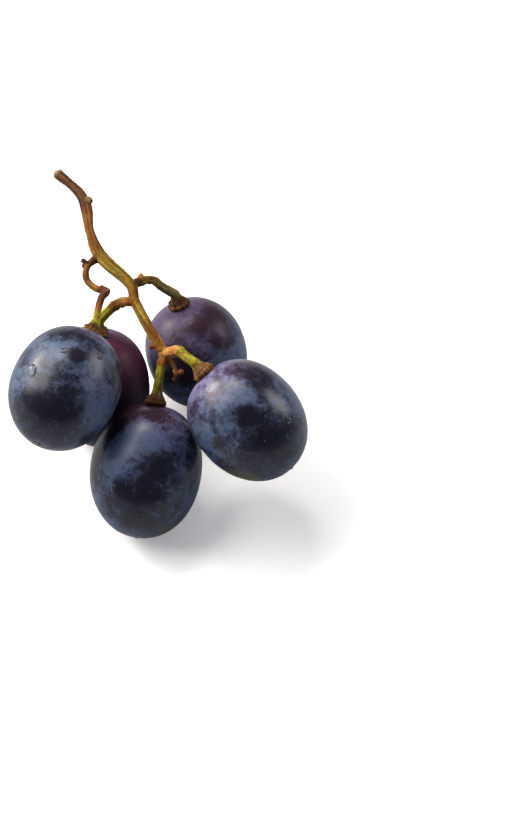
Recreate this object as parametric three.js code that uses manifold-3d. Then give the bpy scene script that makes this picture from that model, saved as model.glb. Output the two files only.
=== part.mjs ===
// A small bunch of five dark oval grapes on one branching stem, cut from the vine and lying on a table.
//
// Frame: millimetres, +Z up off the table, +Y the way that the cut stem points, +X to its right.
// The origin is on the table, under the middle of the bunch.
//
// The grapes come first. One rests on the table, and each of the others is brought in along its own
// direction until it is the stated gap from its neighbour. The stem then grows from the seats of the
// grapes, so it follows whatever size or tilt a grape is given.

import * as THREE from 'three';
import { mergeVertices } from 'three/addons/utils/BufferGeometryUtils.js';
import Module from 'manifold-3d';

const wasm = await Module();
wasm.setup();

// ---------- Sizes ----------

// Two pieces that touch on the real bunch keep this gap.
const TOUCHING = 0.3;

// A grape's outline is a rounded oval: a power of 2 is an ellipse, and more is fuller at the shoulders.
const STEM_END_FULLNESS = 2.25;
const BLOSSOM_END_FULLNESS = 2.04;

// heading and rise point from a grape's middle to its stem end: heading turns from +X towards +Y, and
// rise is up from the table. bearing and climb say, in the same way, where the grape lies from the one
// that it is next to. A grape without a climb rests on the table.
const GRAPES = [
  {
    name: 'grape_back_left', width: 19.3, length: 24.0, heading: 90, rise: 67,
  },
  {
    name: 'grape_front_middle', width: 21.3, length: 25.9, heading: 79, rise: 41,
    nextTo: 'grape_back_left', bearing: -65, gap: TOUCHING,
  },
  {
    name: 'grape_back_right', width: 19.6, length: 22.4, heading: 129, rise: 61.5,
    nextTo: 'grape_back_left', bearing: 26, gap: 1.2,
  },
  {
    name: 'grape_right', width: 20.6, length: 24.4, heading: 141, rise: 29.5,
    nextTo: 'grape_front_middle', bearing: 11, climb: 28.5, gap: TOUCHING,
  },
  {
    name: 'grape_front_left', width: 20.7, length: 24.2, heading: 67, rise: 13.5,
    nextTo: 'grape_back_left', bearing: -114, climb: 50, gap: TOUCHING,
  },
];

// The corky cap that each grape hangs from, where its pedicel flares out.
const CAP_RADIUS = 2.1;
const CAP_THICKNESS = 0.8;
const CAP_FLARE = 1.7;

// The pedicel of the front middle grape ends the stem. It leads up to the tip fork.
const END_PEDICEL = { length: 9.6, heading: 75, rise: 45.5 };

// The main stem, one stretch after another, from the tip fork back to the cut end.
const TIP_TO_LEFT_FORK = { length: 12.2, heading: 119, rise: 14 };
const LEFT_TO_RIGHT_FORK = { length: 3.5, heading: 106, rise: 23 };
const RIGHT_TO_TOP_FORK = { length: 8.2, heading: 139, rise: 17 };
const TOP_FORK_TO_OLD_NODE = { length: 11.5, heading: 105, rise: 9 };
const OLD_NODE_TO_CUT = { length: 11.0, heading: 123, rise: -5 };

// Stalk radii.
const PEDUNCLE_RADIUS = 1.0;
const CUT_END_RADIUS = 1.2;
const OLD_NODE_RADIUS = 1.35;
const TOP_FORK_RADIUS = 1.4;
const RACHIS_RADIUS = 1.1;
const LEFT_FORK_RADIUS = 1.05;
const LOWER_RACHIS_RADIUS = 0.92;
const TIP_FORK_RADIUS = 1.0;
const PEDICEL_RADIUS = 0.78;
const TWIG_RADIUS = 0.65;
const TWIG_KNOB_RADIUS = 0.95;

// Facets: the fine surface is not needed here, only the true shape.
const GRAPE_FACETS = 24;
const GRAPE_RINGS = 12;
const STALK_FACETS = 8;
const STALK_STEP = 1.1;

// ---------- Directions and grapes ----------

const DOWN = new THREE.Vector3(0, 0, -1);
const LATHE_AXIS = new THREE.Vector3(0, 1, 0);

function direction(heading, rise) {
  const turn = THREE.MathUtils.degToRad(heading);
  const lift = THREE.MathUtils.degToRad(rise);
  return new THREE.Vector3(
    Math.cos(lift) * Math.cos(turn), Math.cos(lift) * Math.sin(turn), Math.sin(lift));
}

// The point at the end of a stretch that starts at a given point.
function stretchFrom(start, stretch) {
  return start.clone().addScaledVector(direction(stretch.heading, stretch.rise), stretch.length);
}

// How far a grape reaches from its middle along a direction.
function reach(grape, way) {
  const along = way.dot(grape.axis);
  const across = Math.sqrt(Math.max(0, 1 - along * along));
  const fullness = along > 0 ? STEM_END_FULLNESS : BLOSSOM_END_FULLNESS;
  const power = fullness / (fullness - 1);
  const ends = Math.abs(along) * grape.length / 2;
  const sides = across * grape.width / 2;
  return (ends ** power + sides ** power) ** (1 / power);
}

// The gap between two grapes: the widest flat slab that fits between them, over all tilts of the slab.
function gapBetween(one, other) {
  const line = other.centre.clone().sub(one.centre);
  const slab = (way) => line.dot(way) - reach(one, way) - reach(other, way.clone().negate());
  let best = line.clone().normalize();
  for (let tilt = 0.3; tilt > 0.0005; tilt /= 2) {
    const side = new THREE.Vector3().crossVectors(best, DOWN).normalize();
    const up = new THREE.Vector3().crossVectors(side, best);
    for (const turn of [side, side.clone().negate(), up, up.clone().negate()]) {
      let next = best.clone().addScaledVector(turn, tilt).normalize();
      while (slab(next) > slab(best)) {
        best = next;
        next = best.clone().addScaledVector(turn, tilt).normalize();
      }
    }
  }
  return slab(best);
}

// Brings a grape in towards its neighbour along a bearing, until the two are the grape's gap apart.
function bringIn(grape, neighbour, bearing) {
  const way = direction(bearing, grape.climb ?? 0);
  const gapAt = (distance) => {
    grape.centre = neighbour.centre.clone().addScaledVector(way, distance);
    if (grape.climb === undefined) {
      grape.centre.z = reach(grape, DOWN);
    }
    return gapBetween(neighbour, grape);
  };
  let tooNear = 0;
  let clear = neighbour.length + grape.length;
  while (clear - tooNear > 0.001) {
    const middle = (clear + tooNear) / 2;
    if (gapAt(middle) < grape.gap) {
      tooNear = middle;
    } else {
      clear = middle;
    }
  }
  gapAt(clear);
}

// Places a grape against its neighbour. Where a grape placed earlier would be in its way, its bearing
// turns aside, by a degree more each time and to either side, until nothing is.
function placeGrape(grape, placed) {
  grape.axis = direction(grape.heading, grape.rise);
  if (!grape.nextTo) {
    grape.centre = new THREE.Vector3(0, 0, reach(grape, DOWN));
    return;
  }
  const neighbour = placed.find((other) => other.name === grape.nextTo);
  const others = placed.filter((other) => other !== neighbour);
  let turn = 0;
  bringIn(grape, neighbour, grape.bearing);
  while (others.some((other) => gapBetween(other, grape) < TOUCHING) && turn > -180) {
    turn = turn > 0 ? -turn : 1 - turn;
    bringIn(grape, neighbour, grape.bearing + turn);
  }
}

const placed = [];
for (const grape of GRAPES) {
  placeGrape(grape, placed);
  placed.push(grape);
}

function grapeNamed(name) {
  return GRAPES.find((grape) => grape.name === name);
}

// The middle of a grape's cap, on the side that faces the grape, and the point where the flare ends.
function capBase(grape) {
  return grape.centre.clone().addScaledVector(grape.axis, grape.length / 2 + TOUCHING);
}

function flareEnd(grape) {
  return capBase(grape).addScaledVector(grape.axis, CAP_THICKNESS + CAP_FLARE);
}

// The outline of half a grape, from its blossom end up to its stem end, both on the axis.
function grapeGeometry(grape) {
  const outline = [];
  for (let ring = 0; ring <= GRAPE_RINGS; ring += 1) {
    const angle = Math.PI * (ring / GRAPE_RINGS - 0.5);
    const across = ring % GRAPE_RINGS === 0 ? 0 : Math.cos(angle);
    const along = Math.sin(angle);
    const fullness = along > 0 ? STEM_END_FULLNESS : BLOSSOM_END_FULLNESS;
    const stretch = (across ** fullness + Math.abs(along) ** fullness) ** (-1 / fullness);
    outline.push(new THREE.Vector2(
      across * stretch * grape.width / 2, along * stretch * grape.length / 2));
  }
  return new THREE.LatheGeometry(outline, GRAPE_FACETS);
}

// ---------- Stem ----------

// A closed solid from a closed geometry: shared corners are merged, and slivers at a pole are dropped.
function solid(geometry) {
  const bare = geometry.clone();
  bare.deleteAttribute('normal');
  bare.deleteAttribute('uv');
  const merged = mergeVertices(bare, 1e-4);
  const corners = merged.index.array;
  const triangles = [];
  for (let i = 0; i < corners.length; i += 3) {
    const [a, b, c] = corners.slice(i, i + 3);
    if (a !== b && b !== c && c !== a) {
      triangles.push(a, b, c);
    }
  }
  return new wasm.Manifold(new wasm.Mesh({
    numProp: 3,
    vertProperties: new Float32Array(merged.attributes.position.array),
    triVerts: new Uint32Array(triangles),
  }));
}

// A stalk: a closed cylinder bent along a smooth curve, with a radius at each of the curve's points.
function stalk(points, radii) {
  const curve = new THREE.CatmullRomCurve3(points);
  const steps = Math.ceil(curve.getLength() / STALK_STEP);
  const frames = curve.computeFrenetFrames(steps);
  const geometry = new THREE.CylinderGeometry(1, 1, 1, STALK_FACETS, steps);
  const position = geometry.attributes.position;
  for (let i = 0; i < position.count; i += 1) {
    const step = Math.round((0.5 - position.getY(i)) * steps);
    const share = curve.getUtoTmapping(step / steps) * (radii.length - 1);
    const before = Math.min(Math.floor(share), radii.length - 2);
    const radius = THREE.MathUtils.lerp(radii[before], radii[before + 1], share - before);
    const corner = curve.getPointAt(step / steps)
      .addScaledVector(frames.normals[step], position.getX(i) * radius)
      .addScaledVector(frames.binormals[step], position.getZ(i) * radius);
    position.setXYZ(i, corner.x, corner.y, corner.z);
  }
  return solid(geometry);
}

// Points that wander off the straight line between two ends. Each bend is a share of the way along the
// line, then the millimetres to its right-hand side and above it.
function bentLine(start, end, bends) {
  const along = end.clone().sub(start);
  const side = new THREE.Vector3().crossVectors(DOWN, along).normalize();
  const above = new THREE.Vector3().crossVectors(side, along).normalize();
  const points = bends.map(([share, right, up]) => start.clone()
    .addScaledVector(along, share)
    .addScaledVector(side, right)
    .addScaledVector(above, up));
  return [start, ...points, end];
}

// The cap under a grape's stem end: a thick round edge that narrows into the pedicel.
function cap(grape) {
  const top = CAP_THICKNESS + CAP_FLARE;
  const outline = [
    [0, 0],
    [CAP_RADIUS - 0.2, 0],
    [CAP_RADIUS, 0.25],
    [CAP_RADIUS - 0.1, CAP_THICKNESS],
    [(CAP_RADIUS + PEDICEL_RADIUS) / 2 - 0.1, CAP_THICKNESS + 0.35],
    [PEDICEL_RADIUS + 0.15, top - 0.3],
    [PEDICEL_RADIUS - 0.1, top],
    [0, top],
  ].map(([radius, height]) => new THREE.Vector2(radius, height));
  const geometry = new THREE.LatheGeometry(outline, 16);
  geometry.applyQuaternion(new THREE.Quaternion().setFromUnitVectors(LATHE_AXIS, grape.axis));
  const base = capBase(grape);
  geometry.translate(base.x, base.y, base.z);
  return solid(geometry);
}

// A rounded knob, such as a healed scar or the end of a dead twig.
function knob(centre, radius) {
  const geometry = new THREE.IcosahedronGeometry(radius, 1);
  geometry.translate(centre.x, centre.y, centre.z);
  return solid(geometry);
}

// A dead twig: a thin stalk that ends in a knob.
function deadTwig(start, twig) {
  const end = stretchFrom(start, twig);
  return stalk([start, end], [twig.radius, twig.radius]).add(knob(end, twig.knobRadius));
}

// A branch from a fork to a grape's cap. It meets the cap along the grape's own axis.
function branch(fork, grape, bends, radii) {
  const flare = flareEnd(grape);
  const inCap = capBase(grape).addScaledVector(grape.axis, CAP_THICKNESS);
  const points = [...bentLine(fork, flare, bends), inCap];
  return stalk(points, [...radii, PEDICEL_RADIUS, PEDICEL_RADIUS]).add(cap(grape));
}

function buildStem() {
  const backLeft = grapeNamed('grape_back_left');
  const frontMiddle = grapeNamed('grape_front_middle');
  const backRight = grapeNamed('grape_back_right');
  const right = grapeNamed('grape_right');
  const frontLeft = grapeNamed('grape_front_left');

  const tipFork = stretchFrom(capBase(frontMiddle), END_PEDICEL);
  const leftFork = stretchFrom(tipFork, TIP_TO_LEFT_FORK);
  const rightFork = stretchFrom(leftFork, LEFT_TO_RIGHT_FORK);
  const topFork = stretchFrom(rightFork, RIGHT_TO_TOP_FORK);
  const oldNode = stretchFrom(topFork, TOP_FORK_TO_OLD_NODE);
  const cutEnd = stretchFrom(oldNode, OLD_NODE_TO_CUT);

  // The main stem swells at each fork, and its cut stalk has two slow bends.
  const [, peduncleBend] = bentLine(topFork, oldNode, [[0.5, -0.6, 0.2]]);
  const [, lastBend, endBend] = bentLine(oldNode, cutEnd, [[0.3, 0.7, 0.3], [0.6, 0.5, 0.3]]);
  const mainStem = stalk(
    [tipFork, leftFork, rightFork, topFork, peduncleBend, oldNode, lastBend, endBend, cutEnd],
    [TIP_FORK_RADIUS, LEFT_FORK_RADIUS, RACHIS_RADIUS, TOP_FORK_RADIUS, PEDUNCLE_RADIUS,
      OLD_NODE_RADIUS, CUT_END_RADIUS, PEDUNCLE_RADIUS, CUT_END_RADIUS]);

  const toFrontMiddle = branch(tipFork, frontMiddle,
    [[0.4, 0.1, 0.5]],
    [LOWER_RACHIS_RADIUS, PEDICEL_RADIUS]);

  const toRight = branch(tipFork, right,
    [[0.2, -0.5, 0.5], [0.38, -0.9, 0.9], [0.65, -0.5, 0.5]],
    [TIP_FORK_RADIUS, 1.0, 1.0, PEDICEL_RADIUS]);

  const toBackLeft = branch(leftFork, backLeft,
    [[0.2, 0.5, 0.5], [0.4, 0.6, 0.7], [0.7, 0.5, 0.3]],
    [LEFT_FORK_RADIUS, 0.83, 0.8, PEDICEL_RADIUS]);

  const toBackRight = branch(rightFork, backRight,
    [[0.14, -0.2, 1.3], [0.25, -0.4, 2.0], [0.38, -0.3, 2.2], [0.62, 0, 1.1]],
    [RACHIS_RADIUS, 0.9, TWIG_RADIUS, 0.7, PEDICEL_RADIUS]);

  // The branch to the front left grape is a thin old twig with a double bend and a knob.
  const twigBends = [
    [0.14, 1.7, 0.1], [0.27, 2.0, 0.1], [0.39, 1.6, 0], [0.5, 0.2, 0.2],
    [0.56, -1.6, 0.6], [0.66, -0.9, 0.8], [0.85, -0.3, 0.5],
  ];
  const twigRadii = [
    LOWER_RACHIS_RADIUS, 0.7, TWIG_RADIUS, TWIG_RADIUS, 0.7, 0.8, TWIG_RADIUS, TWIG_RADIUS];
  const toFrontLeft = branch(topFork, frontLeft, twigBends, twigRadii);
  const twigPoints = bentLine(topFork, flareEnd(frontLeft), twigBends);

  // Dead twigs and scars where a grape or a side branch has dropped off.
  const tipTwig = deadTwig(tipFork,
    { length: 4.9, heading: -57, rise: -20, radius: 0.48, knobRadius: 0.75 });
  const rachisBud = deadTwig(tipFork.clone().lerp(leftFork, 0.17),
    { length: 1.6, heading: -165, rise: 0, radius: 0.45, knobRadius: 0.5 });
  const topBud = deadTwig(twigPoints[1],
    { length: 1.2, heading: 150, rise: 25, radius: 0.42, knobRadius: 0.5 });
  const rightBud = deadTwig(bentLine(rightFork, flareEnd(backRight), [[0.16, -0.2, 1.4]])[1],
    { length: 1.0, heading: 100, rise: 35, radius: 0.5, knobRadius: 0.6 });
  const oldScar = deadTwig(oldNode,
    { length: 1.0, heading: 15, rise: 5, radius: 0.85, knobRadius: 0.8 });

  let stem = mainStem;
  const pieces = [
    toFrontMiddle, toRight, toBackLeft, toBackRight, toFrontLeft,
    knob(twigPoints[5], TWIG_KNOB_RADIUS), knob(tipFork, TIP_FORK_RADIUS + 0.1),
    tipTwig, rachisBud, topBud, rightBud, oldScar,
  ];
  for (const piece of pieces) {
    stem = stem.add(piece);
  }
  const mesh = stem.getMesh();
  const geometry = new THREE.BufferGeometry();
  geometry.setAttribute('position', new THREE.BufferAttribute(mesh.vertProperties, 3));
  geometry.setIndex(new THREE.BufferAttribute(mesh.triVerts, 1));
  geometry.computeVertexNormals();
  return geometry;
}

// ---------- The bunch ----------

const skin = new THREE.MeshStandardMaterial({ color: 0x2b2d3f, roughness: 0.42, metalness: 0 });
const bark = new THREE.MeshStandardMaterial({ color: 0x7d6130, roughness: 0.75, metalness: 0 });

const bunch = new THREE.Group();

for (const grape of GRAPES) {
  const mesh = new THREE.Mesh(grapeGeometry(grape), skin.clone());
  mesh.name = grape.name;
  mesh.quaternion.setFromUnitVectors(LATHE_AXIS, grape.axis);
  mesh.position.copy(grape.centre);
  bunch.add(mesh);
}

const stem = new THREE.Mesh(buildStem(), bark);
stem.name = 'stem';
bunch.add(stem);

// The origin goes on the table under the middle of the whole bunch.
const bounds = new THREE.Box3().setFromObject(bunch, true);
const middle = bounds.getCenter(new THREE.Vector3());
for (const mesh of bunch.children) {
  mesh.position.sub(new THREE.Vector3(middle.x, middle.y, bounds.min.z));
}

export default bunch;
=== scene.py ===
# %% [markdown]
# # A small bunch of dark grapes
# Five dark oval grapes sit on one woody, branching stem that was snipped from the vine. The bunch lies
# on a table. Each grape is a smooth skin with a waxy bloom over it, and the stem is thin, lumpy and
# ridged, brown where it is old and green close to the fruit.
#
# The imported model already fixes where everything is, so it is loaded first and measured. The new pieces
# are built around those measures, so they follow the grapes wherever the model puts them.

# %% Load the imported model
import math

import bmesh
import bpy
import numpy as np
from mathutils import Matrix, Vector, noise
from mathutils.geometry import interpolate_bezier


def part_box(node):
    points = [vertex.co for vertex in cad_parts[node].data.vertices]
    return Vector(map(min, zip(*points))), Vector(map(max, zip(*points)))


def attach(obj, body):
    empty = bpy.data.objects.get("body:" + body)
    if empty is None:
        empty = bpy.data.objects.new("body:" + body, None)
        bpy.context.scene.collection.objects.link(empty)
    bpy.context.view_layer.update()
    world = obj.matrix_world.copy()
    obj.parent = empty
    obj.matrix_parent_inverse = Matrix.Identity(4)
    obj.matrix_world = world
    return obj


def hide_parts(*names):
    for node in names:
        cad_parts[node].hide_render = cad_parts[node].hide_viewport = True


MM = 0.001

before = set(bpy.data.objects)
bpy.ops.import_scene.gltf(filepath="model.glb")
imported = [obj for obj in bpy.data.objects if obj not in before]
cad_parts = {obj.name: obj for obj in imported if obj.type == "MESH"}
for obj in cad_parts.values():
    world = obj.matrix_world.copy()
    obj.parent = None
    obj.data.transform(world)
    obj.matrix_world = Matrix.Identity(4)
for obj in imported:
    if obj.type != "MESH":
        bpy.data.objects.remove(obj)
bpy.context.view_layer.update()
print("nodes:", ", ".join(sorted(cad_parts)))

# %% [markdown]
# ## The camera
# A long lens from more than half a metre away keeps the grapes round, as a product camera does. It could
# be aimed at the middle of the bunch, but here it is aimed at a point on its right, which leaves free
# space beside the fruit. The point is given as a step from the middle of the grape at the back left, so
# it follows the model.

# %% The camera
CAMERA_RISE = math.radians(53.3)
CAMERA_DISTANCE = 668 * MM
LENS = 150
SENSOR_WIDTH = 36
STEP_TO_AIM = Vector((30.3, -3.7, -2.7)) * MM

low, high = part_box("grape_back_left")
aim = (low + high) / 2 + STEP_TO_AIM
towards_camera = Vector((0, -math.cos(CAMERA_RISE), math.sin(CAMERA_RISE)))

camera_data = bpy.data.cameras.new("camera")
camera_data.lens = LENS
camera_data.sensor_width = SENSOR_WIDTH
camera = bpy.data.objects.new("camera", camera_data)
camera.location = aim + towards_camera * CAMERA_DISTANCE
camera.rotation_euler = (math.pi / 2 - CAMERA_RISE, 0, 0)
bpy.context.collection.objects.link(camera)
bpy.context.scene.camera = camera
print("camera in mm:", [round(v / MM) for v in camera.location])

# %% [markdown]
# ## Directions
# A grower would say that a stalk points a little to the left and upwards. Here that is a heading, which
# turns from +X towards +Y, and a rise up from the table, both in degrees. The lights, the grapes and the
# stem all use it.

# %% Directions
def direction(heading, rise):
    """The unit step along a heading and a rise, both in degrees."""
    turn = math.radians(heading)
    lift = math.radians(rise)
    return Vector((
        math.cos(lift) * math.cos(turn),
        math.cos(lift) * math.sin(turn),
        math.sin(lift),
    ))


print("straight up:", [round(v, 2) for v in direction(0, 90)])

# %% [markdown]
# ## What the camera sees and what the fruit feels
# Pale surroundings look right behind dark fruit, but their light would also turn its black skin grey. A
# photographer hangs up dark cards out of sight. Here a Light Path node does that work: it tells whether a
# ray comes straight from the camera, so that a surface can be paler to the eye than to the fruit. It says
# nothing about where the camera stands, so every view shows the same surroundings.

# %% A colour to see and a colour to feel
def seen_and_felt(tree, seen, felt):
    """One colour for rays that come straight from the camera, and another for all other rays."""
    ray = tree.nodes.new("ShaderNodeLightPath")
    mix = tree.nodes.new("ShaderNodeMix")
    mix.data_type = "RGBA"
    mix.inputs["A"].default_value = (*felt, 1.0)
    mix.inputs["B"].default_value = (*seen, 1.0)
    tree.links.new(ray.outputs["Is Camera Ray"], mix.inputs["Factor"])
    return mix.outputs["Result"]


print("surroundings may be paler to the eye than to the fruit")

# %% [markdown]
# ## The table
# The table is one large flat square, plain and pale. A little glow of its own, which only the camera
# sees, lightens the shadow on it.

# %% The table
TABLE_SIDE = 4.0
TABLE_SEEN = (0.93, 0.94, 0.96)
TABLE_FELT = (0.44, 0.47, 0.53)
TABLE_GLOW = 0.22
WHITE = (1.0, 1.0, 1.0)
BLACK = (0.0, 0.0, 0.0)

table_shape = bmesh.new()
bmesh.ops.create_grid(table_shape, x_segments=1, y_segments=1, size=TABLE_SIDE / 2)
table_mesh = bpy.data.meshes.new("table")
table_shape.to_mesh(table_mesh)
table_shape.free()
table = bpy.data.objects.new("table", table_mesh)
bpy.context.collection.objects.link(table)

pale = bpy.data.materials.new("pale_table")
pale.use_nodes = True
pale_paint = pale.node_tree.nodes["Principled BSDF"]
paint_colour = seen_and_felt(pale.node_tree, TABLE_SEEN, TABLE_FELT)
paint_glow = seen_and_felt(pale.node_tree, WHITE, BLACK)
pale.node_tree.links.new(paint_colour, pale_paint.inputs["Base Color"])
pale.node_tree.links.new(paint_glow, pale_paint.inputs["Emission Color"])
pale_paint.inputs["Emission Strength"].default_value = TABLE_GLOW
pale_paint.inputs["Roughness"].default_value = 0.8
pale_paint.inputs["Specular IOR Level"].default_value = 0.1
table_mesh.materials.append(pale)
print("table is", TABLE_SIDE, "m wide")

# %% [markdown]
# ## The light
# Dark fruit shows its shape almost only by what it mirrors, so a large soft light stands behind it on
# each side. Two small brighter panes beside the left one give the grapes their clear highlights. A bright
# sky all round would be easier, but it would hide the highlights in a grey veil, so the air stays dim.

# %% The lights
LIGHT_AIM = Vector((0, 0, 18 * MM))


def soft_light(name, heading, rise, distance, side, brightness, colour):
    """A square soft light that faces the bunch. Its brightness is that of its own surface."""
    light = bpy.data.lights.new(name, "AREA")
    light.shape = "SQUARE"
    light.size = side
    light.energy = brightness * math.pi * side * side
    light.color = colour
    lamp = bpy.data.objects.new(name, light)
    away = direction(heading, rise)
    lamp.location = LIGHT_AIM + away * distance
    lamp.rotation_euler = away.to_track_quat("Z", "Y").to_euler()
    bpy.context.collection.objects.link(lamp)
    print(name, "gives", round(light.energy, 2), "W")


# Each light: its name, heading, rise, distance and side in metres, brightness and colour.
soft_light("window_left", 158, 42, 1.5, 1.6, 5.4, (1.0, 0.96, 0.91))
soft_light("bright_pane", 148, 28, 1.45, 0.34, 22.0, (1.0, 0.86, 0.70))
soft_light("second_pane", 103, 62, 1.45, 0.3, 18.0, (1.0, 0.92, 0.82))
soft_light("window_right", 20, 27, 1.5, 0.7, 5.0, (1.0, 0.97, 0.94))

# %% The air
AIR_SEEN = (0.90, 0.92, 0.95)
AIR_FELT = (0.13, 0.145, 0.16)

world = bpy.data.worlds.new("studio_air")
bpy.context.scene.world = world
world.use_nodes = True
air = world.node_tree.nodes["Background"]
world.node_tree.links.new(seen_and_felt(world.node_tree, AIR_SEEN, AIR_FELT), air.inputs["Color"])
air.inputs["Strength"].default_value = 1.0
bpy.context.scene.view_settings.view_transform = "Standard"
print("the air gives the fruit", AIR_FELT)

# %% [markdown]
# ## Measuring a grape
# The model holds each grape as a plain faceted oval. Its two ends are the corners that lie farthest
# apart along its long axis, which is the way that its corners spread the most. The end near the stem is
# where the grape hangs, and the other is the blossom end. All that is built later starts from these.

# %% Measure the grapes
def measure_grape(node):
    """Where a grape lies, how it points and how large it is, all in metres."""
    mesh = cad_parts[node].data
    corners = np.array(sorted({tuple(round(v, 7) for v in vertex.co) for vertex in mesh.vertices}))
    from_mean = corners - corners.mean(axis=0)
    spread, ways = np.linalg.eigh(from_mean.T @ from_mean)
    axis = ways[:, np.argmax(spread)]
    stem_corners = np.array([c.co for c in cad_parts["stem"].data.vertices])
    along = from_mean @ axis
    ends = [corners[along.argmin()], corners[along.argmax()]]
    to_stem = [np.linalg.norm(stem_corners - end, axis=1).min() for end in ends]
    if to_stem[0] < to_stem[1]:
        axis = -axis
        ends.reverse()
    middle = (ends[0] + ends[1]) / 2
    width = 2 * np.linalg.norm(np.cross(corners - middle, axis), axis=1).max()
    return {
        "node": node,
        "middle": Vector(middle),
        "axis": Vector(axis),
        "width": float(width),
        "length": float(np.linalg.norm(ends[1] - ends[0])),
        "stem_end": Vector(ends[1]),
        "blossom_end": Vector(ends[0]),
    }


GRAPE_NODES = (
    "grape_front_left",
    "grape_back_left",
    "grape_front_middle",
    "grape_back_right",
    "grape_right",
)
grapes = {node: measure_grape(node) for node in GRAPE_NODES}
for grape in grapes.values():
    size = [round(grape[side] / MM, 1) for side in ("width", "length")]
    middle = [round(v / MM, 1) for v in grape["middle"]]
    print(grape["node"], "is", size, "mm wide and long, with its middle at", middle)

# %% [markdown]
# ## The shape of a grape
# A grape is nearly a turned shape: an oval that is a little fuller at its stem end, with a shallow seat
# for the stalk and a tiny dry scar in a dimple where the blossom was. Half its outline is spun round the
# axis. A sphere could be squashed instead, but its ends would be too plain for the seat and the scar.

# %% The half outline
STEM_END_FULLNESS = 2.25
BLOSSOM_END_FULLNESS = 2.04
OUTLINE_STEPS = 84
TURN_STEPS = 112
CROWDING = 1.35
SEAT_DEPTH = 0.35 * MM
SEAT_RADIUS = 2.3 * MM
SCAR_HEIGHT = 0.3 * MM
SCAR_RADIUS = 0.33 * MM
DIMPLE_DEPTH = 0.12 * MM
DIMPLE_RADIUS = 3.5 * SCAR_RADIUS


def outline_point(share, width, length):
    """A point of the half outline. The steps are crowded at the blossom end, for the scar."""
    angle = math.pi * (share ** CROWDING - 0.5)
    across = math.cos(angle)
    along = math.sin(angle)
    fullness = STEM_END_FULLNESS if along > 0 else BLOSSOM_END_FULLNESS
    reach = (abs(across) ** fullness + abs(along) ** fullness) ** (-1 / fullness)
    radius = across * reach * width / 2
    height = along * reach * length / 2
    if share in (0, 1):
        radius = 0
    if along > 0:
        height -= SEAT_DEPTH * math.exp(-((radius / SEAT_RADIUS) ** 2))
    else:
        height -= SCAR_HEIGHT * math.exp(-((radius / SCAR_RADIUS) ** 2))
        height += DIMPLE_DEPTH * math.exp(-((radius / DIMPLE_RADIUS) ** 2))
    return Vector((radius, 0, height))


def spin_grape(width, length):
    """A closed grape that stands on its blossom end, with its middle at the origin."""
    shape = bmesh.new()
    points = [outline_point(i / OUTLINE_STEPS, width, length) for i in range(OUTLINE_STEPS + 1)]
    dots = [shape.verts.new(point) for point in points]
    edges = [shape.edges.new(pair) for pair in zip(dots, dots[1:])]
    bmesh.ops.spin(shape, geom=dots + edges, cent=(0, 0, 0), axis=(0, 0, 1), angle=2 * math.pi,
                   steps=TURN_STEPS, use_merge=True)
    bmesh.ops.remove_doubles(shape, verts=shape.verts, dist=1e-7)
    bmesh.ops.recalc_face_normals(shape, faces=shape.faces)
    return shape


trial = spin_grape(grapes["grape_right"]["width"], grapes["grape_right"]["length"])
print("a grape has", len(trial.faces), "faces and", sum(e.is_boundary for e in trial.edges), "open edges")
trial.free()

# %% [markdown]
# ## Laying a grape in its place
# The spun grape is turned and moved onto the measured one. No grape is perfectly round, so each point of
# the skin is then pushed in or out by a fraction of a millimetre, with broad waves and small ones. The
# noise reads the point's own place, shifted by a seed, so the waves differ from grape to grape.

# %% Lay a grape in its place
UNEVEN = 0.13 * MM
BROAD_WAVE = 9
SMALL_WAVE = 2.6
SMALL_SHARE = 0.22
WAVE_SHIFT = (7.3, 3.1, 5.7)


def place_grape(shape, grape, seed):
    """Turns and moves a spun grape onto the measured one, and makes its skin a little uneven."""
    turn = grape["axis"].to_track_quat("Z", "Y").to_matrix().to_4x4()
    bmesh.ops.transform(shape, matrix=Matrix.Translation(grape["middle"]) @ turn, verts=shape.verts)
    shape.normal_update()
    drift = Vector([seed * shift for shift in WAVE_SHIFT])
    for vertex in shape.verts:
        spot = vertex.co / MM
        push = noise.noise(spot / BROAD_WAVE + drift) + SMALL_SHARE * noise.noise(spot / SMALL_WAVE + drift)
        vertex.co += vertex.normal * (push * UNEVEN)


def finish_mesh(name, shape):
    """Turns a bmesh into a smooth-shaded object at the origin."""
    mesh = bpy.data.meshes.new(name)
    shape.to_mesh(mesh)
    shape.free()
    mesh.shade_smooth()
    piece = bpy.data.objects.new(name, mesh)
    bpy.context.collection.objects.link(piece)
    return piece


print("the skin is uneven by about", round(UNEVEN / MM, 2), "mm")

# %% [markdown]
# ## Where the bloom is thick and where it is rubbed off, with painted light and shade
# The bloom is a powdery wax. Picking and packing leave fingertip marks and scuffs in it, and neighbours
# rub it off where they touch. Some marks are painted light and shade instead: thicker, paler bloom
# where a grape is to look lit, and bare, dark skin where shade is to fall, low on a grape or in the
# shadow of a neighbour. Each mark is stored on the skin itself, as a facing direction from the
# grape's middle, a size in millimetres and an amount: more than nothing is thicker bloom, and less is
# bare skin. The material then gives each mark its ragged edge. Two grapes also have a patch that
# stayed green, where a neighbour kept the sun away.

# %% Marks in the bloom
UNRIPE_SIZE = 4.2


def over_the_skin(away, heading, rise):
    """How many millimetres a point of the skin lies from where a direction meets the skin."""
    return away.length * away.angle(direction(heading, rise)) / MM


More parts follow.
